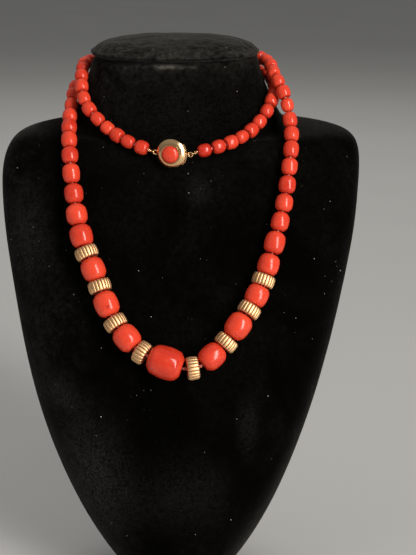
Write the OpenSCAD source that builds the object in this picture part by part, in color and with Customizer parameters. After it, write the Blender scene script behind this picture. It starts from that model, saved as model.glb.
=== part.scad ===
// Long graduated coral necklace with fluted gold rondelles and a round box clasp,
// doubled round a plain velvet neck bust.
// Millimetres. Origin on the bust's foot, X to the viewer's right, Y to the back, Z up.

/* [Neck bust] */
// Width over the shoulders
bust_w = 188; // [185:1:191]
// Depth from the chest to the back
bust_d = 112; // [110:1:114]
// Height of the bust without the cap on the neck
bust_h = 280; // [277:1:283]
// Thickness of the padded cap on the neck
cap_t = 3; // [2.6:0.1:3.6]
// How far the cap stands out over the neck
cap_edge = 0.9; // [0.6:0.1:1.5]

/* [Coral beads] */
// Length of the big centre bead
centre_bead_l = 17; // [16.6:0.1:17.2]
// Diameter of the big centre bead
centre_bead_d = 17; // [16.6:0.1:17.2]
// Mean length of the small beads round the neck
small_bead_l = 6.2; // [6:0.1:6.4]
// Mean diameter of the small beads round the neck
small_bead_d = 7.2; // [6.8:0.1:7.4]
// Diameter of the hole through every bead
bead_hole_d = 1.5; // [1.4:0.1:1.8]

/* [Gold rondelles] */
// Diameter over the flutes
rondelle_d = 11.6; // [11.4:0.1:11.8]
// Width along the thread
rondelle_w = 5.8; // [5.6:0.1:6]
// Number of flutes round the rim
rondelle_flutes = 22; // [20:1:24]
// Depth of the grooves between the flutes
flute_depth = 0.7; // [0.5:0.1:0.8]

/* [Silk thread] */
// Thickness of the thread
thread_d = 0.8; // [0.7:0.1:0.9]
// Thickness of the knots between the beads
knot_d = 1.7; // [1.5:0.1:1.8]

/* [Box clasp] */
// Diameter of the clasp's round cover
clasp_d = 14.8; // [14.6:0.1:15.2]
// Depth of the clasp's box under the cover
clasp_depth = 3.4; // [3.2:0.1:3.6]
// Diameter of the coral cabochon
cabochon_d = 9; // [8.8:0.1:9.4]
// Height of the cabochon over its bezel
cabochon_h = 2.2; // [2:0.1:2.6]
// Thickness of the wire of the rings and loops
wire_d = 0.66; // [0.6:0.02:0.68]

/* [Hidden] */
$fn = 72;

CORALS_PER_SIDE = 12;
RONDELLES_PER_SIDE = 4;
SIDE_INDEX = [for (k = [1:CORALS_PER_SIDE]) k];

CORAL_RED = [0.85, 0.2, 0.12];
PALE_GOLD = [0.83, 0.66, 0.36];
SILK_PINK = [0.8, 0.42, 0.36];
VELVET_BLACK = [0.03, 0.03, 0.03];
CAP_BLACK = [0.05, 0.05, 0.05];

// The section and route tables are drawn on a bust of this size and scaled with it.
DRAWN_BUST = [188, 112, 280];
FIT = [bust_w / DRAWN_BUST[0], bust_d / DRAWN_BUST[1], bust_h / DRAWN_BUST[2]];

// Level sections of the bust from the foot to the top of the neck, one row each:
// height, half width, front, back, squareness, forward tilt in degrees, shift to the side.
SECTIONS = [
    [0,     20.6, -50,   34,   2.4, 0,   0.7],
    [5,     23.8, -54,   36,   2.4, 0,   0.5],
    [14,    30.4, -59,   38,   2.4, 0,   0.2],
    [30,    42,   -65,   40,   2.4, 0,   0.2],
    [56,    55.6, -70,   41,   2.4, 0,   0],
    [90,    68.9, -69,   42,   2.4, 0,   -0.2],
    [124,   78.8, -61,   42,   2.4, 0,   0.4],
    [158,   86.1, -49,   42,   2.4, 0,   1.4],
    [190,   91.9, -36,   43,   2.4, 0,   2.1],
    [212,   93.8, -27,   44,   2.4, 2,   2.4],
    [224,   93.8, -22,   44,   2.4, 3,   3],
    [233,   92,   -18,   44,   2.4, 4,   4],
    [239,   87.6, -15,   44,   2.3, 6,   4.6],
    [242,   79,   -12.5, 44,   2.2, 8,   4.2],
    [243.2, 66,   -11,   44,   2.1, 9,   1.6],
    [245.6, 58,   -10.5, 44.5, 2.1, 10,  0],
    [251.5, 53.5, -11,   45,   2.1, 11,  0],
    [261,   48.5, -13,   46,   2.1, 10,  0],
    [271.6, 44.5, -15,   47,   2.1, 6.6, 0],
    [280.3, 42.3, -16,   47,   2.1, 3.8, 0]
];
SECTION_STEPS = 2;
BUST_SIDES = 48;

// The thread's line from the clasp's right end, once round the neck, down to the centre bead,
// up again, round the neck over the first turn and back to the clasp's left end: x, y, z.
ROUTE = [
    [11.6,  -24.2, 235.4],
    [22.5,  -20.4, 237.5],
    [33.2,  -14.1, 240.7],
    [40.9,  -6.9,  245.2],
    [46.8,  -1.8,  251.9],
    [50.2,  4.1,   258.1],
    [51.4,  11.6,  262.5],
    [50,    24.2,  266.8],
    [39.2,  39.2,  269.3],
    [20.5,  48,    270.3],
    [-0.8,  50.5,  269.8],
    [-21.8, 47.6,  268.5],
    [-39.8, 39.1,  266.2],
    [-49.9, 27.4,  264.2],
    [-53.4, 16.3,  260.4],
    [-53.9, 7.9,   253.7],
    [-53.9, -1.7,  247.3],
    [-53.3, -11,   241.5],
    [-52.2, -19.2, 232],
    [-50.9, -24.4, 220.4],
    [-48.7, -30.6, 208],
    [-45.4, -38,   193.6],
    [-38.6, -44.8, 178.8],
    [-33,   -51.4, 164.4],
    [-26.4, -56.8, 153.8],
    [-17.3, -62.1, 144.7],
    [-11.6, -63.9, 141.8],
    [-3.9,  -65.5, 138.9],
    [5.3,   -66.6, 136.7],
    [12.8,  -65.6, 137.3],
    [23.1,  -60.6, 144.9],
    [32.4,  -55.7, 155.7],
    [40.7,  -49.2, 167.5],
    [46.4,  -43.1, 180.8],
    [51,    -36,   195.3],
    [54.8,  -29,   209.2],
    [57,    -23.7, 221.4],
    [58.6,  -18.2, 233.7],
    [59.4,  -10.5, 242.1],
    [58.6,  -4.4,  249.7],
    [57,    -1.7,  257.6],
    [54.3,  1.9,   264.7],
    [50.6,  9,     270.9],
    [48.1,  21.7,  275.7],
    [37.9,  38.4,  276.9],
    [20,    48.2,  278.6],
    [-0.2,  51.1,  278.5],
    [-20.4, 48.2,  277.6],
    [-37.2, 39.2,  275.8],
    [-46.8, 25.2,  274.7],
    [-48.2, 12.3,  271.4],
    [-47.8, 3.7,   264.9],
    [-45.9, -1.3,  257.3],
    [-40.6, -6.5,  250.9],
    [-33.2, -9.4,  244.5],
    [-23.8, -16.3, 239.5],
    [-12.8, -20.3, 235.8]
];
// Row of the route at the middle of the centre bead
CENTRE_ROW = 27;

// Corals on each side from the centre bead outwards: length, diameter.
CORALS_LEFT = [
    [11.8, 13.1],
    [12.1, 12.4],
    [10.9, 12.1],
    [10.1, 12],
    [10.2, 10.9],
    [9.5,  9.9],
    [9.4,  9.2],
    [7.7,  8.8],
    [8.3,  8.5],
    [8.2,  8.4],
    [7.5,  7.8],
    [7.1,  7.4]
];
CORALS_RIGHT = [
    [12,   13],
    [12.3, 13.2],
    [9.3,  11.7],
    [9.6,  11.3],
    [10.7, 10.7],
    [9.3,  9.6],
    [8.5,  9.2],
    [8.6,  8.9],
    [8.2,  8.4],
    [8.4,  8.2],
    [7.8,  8],
    [7.6,  7.6]
];
// Share of a small bead's size by which the beads differ, and the step of that pattern
BEAD_VARIATION = 0.05;
LENGTH_SWING = 1.4;
VARIATION_STEP = 137;
// Corals nearest the centre that have a rondelle below them, and one more rondelle after them
CORALS_BETWEEN = RONDELLES_PER_SIDE - 1;
// Wanted length of a knot between two beads
KNOT_L = 0.88;
// Lengths of the knots nearest the centre bead on each side, from it outwards
FIRST_KNOTS_LEFT = [1.35, 1.45, 0.8, 1.3, 0.65, 0.7, 0.6, 0.9, 1.1, 1.1];
FIRST_KNOTS_RIGHT = [2.5, 2.6, 0.9, 0.8, 0.7, 0.7, 0.65, 0.65, 1.3, 1.1];
// Lengths of the last knots before the clasp
LAST_KNOTS_LEFT = [1.1, 1.3, 0.6];
LAST_KNOTS_RIGHT = [1.1, 1.5, 0.6];

// Smooth curve through the rows of a table, where t counts rows
function row_at(table, t) =
    let (
        last = len(table) - 1,
        i = min(max(floor(t), 0), last - 1),
        f = t - i,
        a = table[max(i - 1, 0)],
        b = table[i],
        c = table[i + 1],
        d = table[min(i + 2, last)]
    )
    b + ((c - a) * f + (2 * a - 5 * b + 4 * c - d) * f * f + (3 * b - a - 3 * c + d) * f * f * f) / 2;

function fitted(p) = [p[0] * FIT[0], p[1] * FIT[1], p[2] * FIT[2]];
function rounded(v, squareness) = sign(v) * pow(abs(v), 2 / squareness);
function unit(v) = v / norm(v);
function sum_to(list, count) = count <= 0 ? 0 : list[count - 1] + sum_to(list, count - 1);

// One ring of the bust's surface at a row of the section table, grown outwards and lifted
function bust_ring(row, grow = 0, lift = 0) =
    let (s = row_at(SECTIONS, row))
    [for (k = [0:BUST_SIDES - 1])
        let (
            angle = 360 * k / BUST_SIDES,
            across = (s[1] + grow) * rounded(cos(angle), s[4]),
            along = ((s[3] - s[2]) / 2 + grow) * rounded(sin(angle), s[4])
        )
        fitted([s[6] + across, (s[2] + s[3]) / 2 + along, s[0] + along * tan(s[5])]) + [0, 0, lift]
    ];

// Closed skin over a list of rings with the same number of points
module skin(rings) {
    sides = len(rings[0]);
    last = len(rings) - 1;
    polyhedron(
        points = [for (ring = rings) for (p = ring) p],
        faces = concat(
            [[for (k = [0:sides - 1]) k]],
            [[for (k = [sides - 1:-1:0]) last * sides + k]],
            [for (r = [0:last - 1]) for (k = [0:sides - 1])
                let (
                    a = r * sides + k,
                    b = r * sides + (k + 1) % sides
                )
                for (corner = [[a, a + sides, b], [b, a + sides, b + sides]]) corner
            ]
        )
    );
}

// Arc length along the route, as pairs of length and row
ROUTE_STEPS = 12;
ROUTE_POINTS = [for (i = [0:(len(ROUTE) - 1) * ROUTE_STEPS]) fitted(row_at(ROUTE, i / ROUTE_STEPS))];
ROUTE_LENGTHS = [
    for (i = 0, s = 0; i < len(ROUTE_POINTS); i = i + 1,
        s = s + (i < len(ROUTE_POINTS) ? norm(ROUTE_POINTS[i] - ROUTE_POINTS[i - 1]) : 0)) s
];
LENGTH_TO_ROW = [for (i = [0:len(ROUTE_LENGTHS) - 1]) [ROUTE_LENGTHS[i], i / ROUTE_STEPS]];
ROUTE_LENGTH = ROUTE_LENGTHS[len(ROUTE_LENGTHS) - 1];
CENTRE_LENGTH = ROUTE_LENGTHS[CENTRE_ROW * ROUTE_STEPS];
function on_route(s) = fitted(row_at(ROUTE, lookup(s, LENGTH_TO_ROW)));

// The pieces of one side from the centre bead outwards: is it a rondelle, length, diameter
function graded_side(corals) = [
    for (k = [0:len(corals) - 1])
        for (piece = k <= CORALS_BETWEEN
            ? [[true, rondelle_w, rondelle_d], [false, corals[k][0], corals[k][1]]]
            : [[false, corals[k][0], corals[k][1]]]) piece
];
function small_bead(k) =
    let (change = BEAD_VARIATION * sin(k * VARIATION_STEP))
    [false, small_bead_l * (1 + LENGTH_SWING * change), small_bead_d * (1 - change)];
function lengths(pieces) = [for (piece = pieces) piece[1]];
function total(list) = sum_to(list, len(list));
// The whole side: graded pieces first, then as many small beads as the thread has room for
function whole_side(corals, first_knots, last_knots, leg) =
    let (
        graded = graded_side(corals),
        knots = len(graded) + 1 - len(first_knots) - len(last_knots),
        room = leg - total(first_knots) - total(last_knots) - total(lengths(graded)) - KNOT_L * knots,
        count = round(room / (small_bead_l + KNOT_L))
    )
    concat(graded, [for (k = [1:count]) small_bead(k)]);
// Every knot of one side outwards from the centre bead, the equal ones as long as the thread leaves room for
function side_knots(pieces, first_knots, last_knots, leg) =
    let (
        count = len(pieces) + 1 - len(first_knots) - len(last_knots),
        room = leg - total(first_knots) - total(last_knots) - total(lengths(pieces))
    )
    concat(first_knots, [for (k = [1:count]) room / count], last_knots);

// Thread on each side from the centre bead's face to the clasp
LEG_LEFT = CENTRE_LENGTH - centre_bead_l / 2;
LEG_RIGHT = ROUTE_LENGTH - CENTRE_LENGTH - centre_bead_l / 2;
SIDE_LEFT = whole_side(CORALS_LEFT, FIRST_KNOTS_LEFT, LAST_KNOTS_LEFT, LEG_LEFT);
SIDE_RIGHT = whole_side(CORALS_RIGHT, FIRST_KNOTS_RIGHT, LAST_KNOTS_RIGHT, LEG_RIGHT);
KNOTS_LEFT = side_knots(SIDE_LEFT, FIRST_KNOTS_LEFT, LAST_KNOTS_LEFT, LEG_LEFT);
KNOTS_RIGHT = side_knots(SIDE_RIGHT, FIRST_KNOTS_RIGHT, LAST_KNOTS_RIGHT, LEG_RIGHT);

// The two ends of a stretch of the thread that runs through a piece
function ends_at(s, length, way) =
    [for (end = [s, s + length]) on_route(CENTRE_LENGTH + way * end)];
// Ends of every piece of one side, outwards from the centre bead
function side_ends(pieces, knots, way) = [
    for (k = [0:len(pieces) - 1])
        ends_at(centre_bead_l / 2 + sum_to(lengths(pieces), k) + sum_to(knots, k + 1), pieces[k][1], way)
];
CENTRE_ENDS = ends_at(-centre_bead_l / 2, centre_bead_l, 1);
ENDS_LEFT = side_ends(SIDE_LEFT, KNOTS_LEFT, -1);
ENDS_RIGHT = side_ends(SIDE_RIGHT, KNOTS_RIGHT, 1);

// Turns and moves a shape so that its Z axis lies along one direction at a point
module set_along(p, direction) {
    flat = norm([direction[0], direction[1]]);
    translate(p)
        rotate([0, atan2(flat, direction[2]), atan2(direction[1], direction[0])])
            children();
}

// Small clearance between pieces that touch on the real necklace
GAP = 0.12;

// Profile of the neck cap's padded edge: growth over the neck and height as a share of its thickness
CAP_EDGE = [[-1.6, 0], [0.5, 0.06], [0.95, 0.3], [1, 0.5], [0.7, 0.8], [0, 0.97], [-2.5, 1.05]];
CAP_DOME = [[-7, 1.7], [-13, 2.3], [-20, 2.85], [-27, 3.15]];
NECK_TOP = len(SECTIONS) - 1;

// Barrel shape of the beads: end face to diameter, bulge radius to length, least corner radius
BEAD_END = 0.52;
BEAD_BULGE = 1.1;
BEAD_CORNER = 0.54;

// Rondelle: rib radius as a share of a flute's width, bevel of the rim, spare round the ribs
RIB_SHARE = 0.375;
RIM_BEVEL = 0.9;
RIM_SPARE = 0.05;

// Box clasp: middle of its back, turn to the left, upward lean and roll of its face in degrees
CLASP_AT = fitted([-0.4, -21.8, 234.6]);
CLASP_TURN = 14;
CLASP_LEAN = 0;
CLASP_ROLL = -1.5;
CLASP_OUT = [-sin(CLASP_TURN) * cos(CLASP_LEAN), -cos(CLASP_TURN) * cos(CLASP_LEAN), sin(CLASP_LEAN)];
CLASP_LEVEL = [cos(CLASP_TURN), -sin(CLASP_TURN), 0];
CLASP_STEEP = cross(CLASP_OUT, CLASP_LEVEL);
CLASP_RIGHT = CLASP_LEVEL * cos(CLASP_ROLL) + CLASP_STEEP * sin(CLASP_ROLL);
CLASP_UP = cross(CLASP_OUT, CLASP_RIGHT);

// Clasp sizes
BOX_R = clasp_d / 2 - 0.6;
COVER_R = clasp_d / 2;
COVER_EDGE = 0.4;
COVER_RISE = 1.4;
COVER_TOP = clasp_depth + COVER_EDGE + COVER_RISE;
CABOCHON_R = cabochon_d / 2;
BEZEL_WALL = 0.4;
BEZEL_RISE = 0.5;
BEZEL_R = CABOCHON_R + GAP + BEZEL_WALL;
BEZEL_FLOOR = clasp_depth + 0.6;
TONGUE_W = 5;
TONGUE_T = 0.9;
TONGUE_Z = clasp_depth / 2 - TONGUE_T / 2;
TONGUE_IN = 1.2;
END_WALL = 0.6;
END_WALL_SPREAD = 42;
END_WALL_INSET = 0.25;
END_WALL_PLAY = 0.55;
RING_R = 1.1;
RING_Z = clasp_depth / 2;
RING_STUD = 0.8;
RING_LEFT_X = -(BOX_R + RING_STUD + RING_R);
RING_RIGHT_X = BOX_R + END_WALL_PLAY + END_WALL + RING_R + 0.4;

// End loops between the clasp's rings and the thread
LOOP_R = 1;
LOOP_PLAY = 0.14;
LOOP_STEP = LOOP_R - wire_d - LOOP_PLAY;
COLLAR_R = 0.95;
COLLAR_HOLE_R = thread_d / 2 + 0.15;
COLLAR_HOLE_L = 0.8;
COLLAR_SHORT = 0.3;
THREAD_IN_COLLAR = 0.9;
THREAD_SIDES = 6;
KNOT_NECK = 0.28;

function on_clasp(x, y, z) = CLASP_AT + CLASP_RIGHT * x + CLASP_UP * y + CLASP_OUT * z;
THREAD_START = on_route(0);
THREAD_END = on_route(ROUTE_LENGTH);
// Point of a clasp ring's wire that lies nearest to the thread's end, where the end loop hooks in
function hook(ring, thread_at) =
    let (way = thread_at - ring)
    ring + unit(way - CLASP_OUT * (way * CLASP_OUT)) * RING_R;
HOOK_LEFT = hook(on_clasp(RING_LEFT_X, 0, RING_Z), THREAD_END);
HOOK_RIGHT = hook(on_clasp(RING_RIGHT_X, 0, RING_Z), THREAD_START);

// Puts a shape's axes on three directions at a point
module set_frame(p, x, y, z) {
    multmatrix([
        [x[0], y[0], z[0], p[0]],
        [x[1], y[1], z[1], p[1]],
        [x[2], y[2], z[2], p[2]]
    ])
        children();
}

module on_clasp_frame() {
    set_frame(CLASP_AT, CLASP_RIGHT, CLASP_UP, CLASP_OUT)
        children();
}

module wire_ring(r) {
    rotate_extrude()
        translate([r, 0])
            circle(d = wire_d, $fn = 24);
}

module neck_bust() {
    steps = (len(SECTIONS) - 1) * SECTION_STEPS;
    color(VELVET_BLACK)
        skin([for (i = [0:steps]) bust_ring(i / SECTION_STEPS)]);
}

module neck_cap() {
    profile = concat(
        [for (e = CAP_EDGE) [e[0] < 0 ? e[0] : e[0] * cap_edge, e[1]]],
        CAP_DOME
    );
    color(CAP_BLACK)
        skin([for (e = profile) bust_ring(NECK_TOP, e[0], GAP + e[1] * cap_t)]);
}

// Drilled barrel bead lying along Z
module barrel(l, d) {
    bulge_r = BEAD_BULGE * l;
    corner_r = max(norm([BEAD_END * d / 2, l / 2]), BEAD_CORNER * d);
    rotate_extrude()
        intersection() {
            translate([d / 2 - bulge_r, 0])
                circle(bulge_r, $fn = 180);
            circle(corner_r, $fn = 180);
            translate([bead_hole_d / 2, -l / 2])
                square([d, l]);
        }
}

// Fluted rondelle lying along Z
module rondelle() {
    rim_r = rondelle_d / 2;
    flute_turn = 360 / rondelle_flutes;
    rib_r = RIB_SHARE * PI * rondelle_d / rondelle_flutes;
    out_r = rim_r + RIM_SPARE;
    color(PALE_GOLD)
        difference() {
            intersection() {
                translate([0, 0, -rondelle_w / 2])
                    linear_extrude(rondelle_w)
                        union() {
                            circle(rim_r - flute_depth);
                            for (k = [0:rondelle_flutes - 1])
                                rotate(k * flute_turn)
                                    translate([rim_r - rib_r, 0])
                                        circle(rib_r, $fn = 24);
                        }
                rotate_extrude()
                    polygon([
                        [0, -rondelle_w / 2],
                        [rim_r - RIM_BEVEL, -rondelle_w / 2],
                        [out_r, -rondelle_w / 2 + RIM_BEVEL],
                        [out_r, rondelle_w / 2 - RIM_BEVEL],
                        [rim_r - RIM_BEVEL, rondelle_w / 2],
                        [0, rondelle_w / 2]
                    ]);
            }
            cylinder(h = 2 * rondelle_w, d = bead_hole_d, center = true);
        }
}

// One piece of a side, laid between its two ends on the thread's line
module strung(pieces, ends, k) {
    set_along((ends[k][0] + ends[k][1]) / 2, ends[k][1] - ends[k][0])
        if (pieces[k][0]) rondelle();
        else color(CORAL_RED) barrel(pieces[k][1], pieces[k][2]);
}

// Place of a numbered rondelle or coral among the pieces of its side
function rondelle_place(k) = 2 * (k - 1);
function coral_place(k) = k <= RONDELLES_PER_SIDE ? 2 * k - 1 : k + RONDELLES_PER_SIDE - 1;

module coral_centre() {
    color(CORAL_RED)
        set_along((CENTRE_ENDS[0] + CENTRE_ENDS[1]) / 2, CENTRE_ENDS[1] - CENTRE_ENDS[0])
            barrel(centre_bead_l, centre_bead_d);
}

module small_beads(pieces, ends) {
    for (k = [coral_place(CORALS_PER_SIDE) + 1:len(pieces) - 1])
        strung(pieces, ends, k);
}

// Ring of the thread's skin round a point, square to a direction
function thread_ring(p, direction, r) =
    let (
        w = unit(direction),
        u = unit(cross(w, [p[0], p[1] - bust_d / 4, 0])),
        v = cross(w, u)
    )
    [for (k = [0:THREAD_SIDES - 1])
        p + r * (u * cos(360 * k / THREAD_SIDES) + v * sin(360 * k / THREAD_SIDES))];

// Four rings that make one knot and its necks, from one piece's last end to the next one's first
function knot_rings(before, after) =
    let (
        from = before[1],
        to = after[0],
        way = to - from
    )
    [
        thread_ring(from, from - before[0], thread_d / 2),
        thread_ring(from + way * KNOT_NECK, way, knot_d / 2),
        thread_ring(to - way * KNOT_NECK, way, knot_d / 2),
        thread_ring(to, after[1] - to, thread_d / 2)
    ];

module thread() {
    into_right = unit(HOOK_RIGHT - THREAD_START) * THREAD_IN_COLLAR;
    into_left = unit(HOOK_LEFT - THREAD_END) * THREAD_IN_COLLAR;
    line = concat(
        [[THREAD_START + into_right, THREAD_START]],
        [for (k = [len(ENDS_LEFT) - 1:-1:0]) [ENDS_LEFT[k][1], ENDS_LEFT[k][0]]],
        [CENTRE_ENDS],
        ENDS_RIGHT,
        [[THREAD_END, THREAD_END + into_left]]
    );
    color(SILK_PINK)
        skin(concat(
            [thread_ring(line[0][0], -into_right, thread_d / 2)],
            [for (k = [1:len(line) - 1]) for (ring = knot_rings(line[k - 1], line[k])) ring],
            [thread_ring(line[len(line) - 1][1], into_left, thread_d / 2)]
        ));
}

module clasp_box() {
    cover_r2 = BEZEL_R;
    dome_z = (pow(COVER_R, 2) - pow(cover_r2, 2)
        + pow(clasp_depth + COVER_EDGE, 2) - pow(COVER_TOP, 2)) / (-2 * COVER_RISE);
    dome_r = norm([COVER_R, clasp_depth + COVER_EDGE - dome_z]);
    color(PALE_GOLD)
        on_clasp_frame() {
            difference() {
                union() {
                    cylinder(h = clasp_depth + COVER_EDGE, r = BOX_R);
                    rotate_extrude()
                        intersection() {
                            translate([0, dome_z])
                                circle(dome_r, $fn = 180);
                            translate([0, clasp_depth])
                                square([COVER_R, COVER_EDGE + COVER_RISE]);
                        }
                    cylinder(h = COVER_TOP + BEZEL_RISE, r = BEZEL_R);
                }
                translate([0, 0, BEZEL_FLOOR])
                    cylinder(h = COVER_TOP, r = CABOCHON_R + GAP);
                translate([TONGUE_IN - GAP, -TONGUE_W / 2 - GAP, TONGUE_Z - GAP])
                    cube([COVER_R, TONGUE_W + 2 * GAP, TONGUE_T + 2 * GAP]);
            }
            translate([RING_LEFT_X, 0, RING_Z])
                wire_ring(RING_R);
            translate([RING_LEFT_X + RING_R, 0, RING_Z])
                rotate([0, 90, 0])
                    cylinder(h = RING_STUD + 0.3, d = wire_d);
        }
}

module clasp_coral() {
    base_z = BEZEL_FLOOR + GAP;
    rim_z = COVER_TOP + BEZEL_RISE;
    dome_r = (pow(CABOCHON_R, 2) + pow(cabochon_h, 2)) / (2 * cabochon_h);
    color(CORAL_RED)
        on_clasp_frame()
            rotate_extrude()
                intersection() {
                    translate([0, rim_z + cabochon_h - dome_r])
                        circle(dome_r, $fn = 180);
                    translate([0, base_z])
                        square([CABOCHON_R, rim_z + cabochon_h - base_z]);
                }
}

module clasp_tongue() {
    wall_r = BOX_R + END_WALL_PLAY;
    color(PALE_GOLD)
        on_clasp_frame() {
            translate([TONGUE_IN, -TONGUE_W / 2, TONGUE_Z])
                cube([wall_r + END_WALL / 2 - TONGUE_IN, TONGUE_W, TONGUE_T]);
            translate([0, 0, END_WALL_INSET])
                rotate([0, 0, -END_WALL_SPREAD])
                    rotate_extrude(angle = 2 * END_WALL_SPREAD)
                        translate([wall_r, 0])
                            square([END_WALL, clasp_depth - END_WALL_INSET - GAP]);
            translate([RING_RIGHT_X, 0, RING_Z])
                wire_ring(RING_R);
            translate([wall_r + END_WALL / 2, 0, RING_Z])
                rotate([0, 90, 0])
                    cylinder(h = RING_RIGHT_X - RING_R - wall_r - END_WALL / 2, d = wire_d);
        }
}

// Wire loop hooked through a clasp ring, with the collar that takes the thread's end
module end_loop(hook_at, thread_at) {
    way = unit(thread_at - hook_at);
    side = unit(cross(CLASP_OUT, way));
    collar_l = norm(thread_at - hook_at) - LOOP_STEP - LOOP_R - COLLAR_SHORT;
    color(PALE_GOLD)
        set_frame(hook_at, way, cross(side, way), side) {
            translate([LOOP_STEP, 0, 0])
                wire_ring(LOOP_R);
            translate([LOOP_STEP + LOOP_R, 0, 0])
                rotate([0, 90, 0])
                    difference() {
                        cylinder(h = collar_l, r = COLLAR_R);
                        translate([0, 0, collar_l - COLLAR_HOLE_L])
                            cylinder(h = COLLAR_HOLE_L + 1, r = COLLAR_HOLE_R);
                    }
        }
}

neck_bust();
neck_cap();
thread();
clasp_box();
clasp_coral();
clasp_tongue();
end_loop(HOOK_LEFT, THREAD_END);  // end_loop_left
end_loop(HOOK_RIGHT, THREAD_START);  // end_loop_right
coral_centre();
for (k = [1:RONDELLES_PER_SIDE]) {
    strung(SIDE_LEFT, ENDS_LEFT, rondelle_place(k));
    strung(SIDE_RIGHT, ENDS_RIGHT, rondelle_place(k));
}
for (k = SIDE_INDEX) {
    strung(SIDE_LEFT, ENDS_LEFT, coral_place(k));
    strung(SIDE_RIGHT, ENDS_RIGHT, coral_place(k));
}
small_beads(SIDE_LEFT, ENDS_LEFT);  // bead_string_left
small_beads(SIDE_RIGHT, ENDS_RIGHT);  // bead_string_right
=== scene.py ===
import math

import bpy
import numpy as np
from mathutils import Matrix, Vector, noise
from mathutils.bvhtree import BVHTree


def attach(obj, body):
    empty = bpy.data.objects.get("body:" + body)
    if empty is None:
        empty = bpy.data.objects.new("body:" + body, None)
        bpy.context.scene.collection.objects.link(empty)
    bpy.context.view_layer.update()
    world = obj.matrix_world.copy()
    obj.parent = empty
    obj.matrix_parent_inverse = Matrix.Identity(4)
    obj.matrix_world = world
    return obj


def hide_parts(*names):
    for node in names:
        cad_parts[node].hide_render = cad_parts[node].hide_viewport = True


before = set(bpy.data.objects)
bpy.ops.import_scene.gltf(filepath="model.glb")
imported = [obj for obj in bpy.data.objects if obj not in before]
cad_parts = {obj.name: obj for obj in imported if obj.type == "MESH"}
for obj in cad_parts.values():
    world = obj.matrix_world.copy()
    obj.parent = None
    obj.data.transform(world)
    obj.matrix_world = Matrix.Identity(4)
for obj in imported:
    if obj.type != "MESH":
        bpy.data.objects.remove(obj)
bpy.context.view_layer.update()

MM = 0.001


# Camera: it looks down on the chest from the front at 16 degrees, as close as the photograph
# was taken, with the foot of the bust just below the picture.
CAMERA_AT = (17 * MM, -615 * MM, 340 * MM)
CAMERA_DOWN = math.radians(16)
HALF_HEIGHT_OF_VIEW = math.radians(13)
SENSOR = 36.0
NEAREST_SEEN = 0.05

bpy.ops.object.camera_add(location=CAMERA_AT, rotation=(math.pi / 2 - CAMERA_DOWN, 0, 0))
camera = bpy.context.object
camera.data.sensor_width = SENSOR
camera.data.lens = SENSOR / 2 / math.tan(HALF_HEIGHT_OF_VIEW)
camera.data.clip_start = NEAREST_SEEN
bpy.context.scene.camera = camera
bpy.context.scene.view_settings.view_transform = "Standard"


# Floor and studio light: a wide pale floor, one tall soft window-like light to the right of the
# camera, a weaker one to the left, a soft top light and an even grey surround. Only the window
# light and the surround show in polished things.
NECKLACE_AT = (0, -0.04, 0.2)
SURROUND_LOW = (0.34, 0.34, 0.34, 1)
SURROUND_HIGH = (0.75, 0.75, 0.73, 1)
SURROUND_STRENGTH = 0.34
FLOOR_DARK = (0.45, 0.445, 0.43, 1)
FLOOR_LIGHT = (0.50, 0.495, 0.48, 1)
FLOOR_SIZE = 24


def add_node(tree, kind, values=None, **settings):
    made = tree.nodes.new(kind)
    for name, value in settings.items():
        setattr(made, name, value)
    for name, value in (values or {}).items():
        if isinstance(value, bpy.types.NodeSocket):
            tree.links.new(value, made.inputs[name])
        else:
            made.inputs[name].default_value = value
    return made


def mix(tree, share, first, second):
    values = {"Factor": share, "A": first, "B": second}
    return add_node(tree, "ShaderNodeMix", values, data_type="RGBA").outputs["Result"]


def stretch(tree, value, low, high, to_low=0.0, to_high=1.0):
    values = {"Value": value, "From Min": low, "From Max": high, "To Min": to_low, "To Max": to_high}
    return add_node(tree, "ShaderNodeMapRange", values).outputs[0]


def cloud(tree, where, scale, detail, **more):
    values = {"Vector": where, "Scale": scale, "Detail": detail, **more}
    return add_node(tree, "ShaderNodeTexNoise", values).outputs["Fac"]


def place_on_piece(tree):
    return add_node(tree, "ShaderNodeTexCoord").outputs["Object"]


def new_finish(name):
    finish = bpy.data.materials.new(name)
    finish.use_nodes = True
    shader = finish.node_tree.nodes["Principled BSDF"]
    return finish, finish.node_tree, shader


def feed(tree, shader, **sockets):
    for name, value in sockets.items():
        slot = shader.inputs[name.replace("_", " ")]
        if isinstance(value, bpy.types.NodeSocket):
            tree.links.new(value, slot)
        else:
            slot.default_value = value


def soft_light(name, at, width, height, watts, colour, mirrored):
    bpy.ops.object.light_add(type="AREA", location=at)
    lamp = bpy.context.object
    lamp.name = name
    way = Vector(NECKLACE_AT) - Vector(at)
    lamp.rotation_euler = way.to_track_quat("-Z", "Y").to_euler()
    lamp.data.shape = "RECTANGLE"
    lamp.data.size, lamp.data.size_y = width, height
    lamp.data.energy = watts
    lamp.data.color = colour
    lamp.visible_glossy = mirrored


soft_light(
    "window light", at=(0.82, -1.12, 0.72), width=0.36, height=1.5,
    watts=26, colour=(1.0, 0.97, 0.92), mirrored=True)
soft_light(
    "left fill light", at=(-1.9, -0.7, 0.8), width=2.0, height=2.0,
    watts=11, colour=(0.95, 0.97, 1.0), mirrored=False)
soft_light(
    "top light", at=(-0.1, 1.1, 1.7), width=1.6, height=1.6,
    watts=15, colour=(1.0, 0.99, 0.96), mirrored=False)

surround = bpy.data.worlds.new("surround")
bpy.context.scene.world = surround
surround.use_nodes = True
tree = surround.node_tree
direction = add_node(tree, "ShaderNodeTexCoord").outputs["Generated"]
upward = add_node(tree, "ShaderNodeSeparateXYZ", {"Vector": direction}).outputs["Z"]
grey = mix(tree, stretch(tree, upward, 0.0, 0.9), SURROUND_LOW, SURROUND_HIGH)
backdrop = tree.nodes["Background"]
tree.links.new(grey, backdrop.inputs["Color"])
backdrop.inputs["Strength"].default_value = SURROUND_STRENGTH

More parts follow.
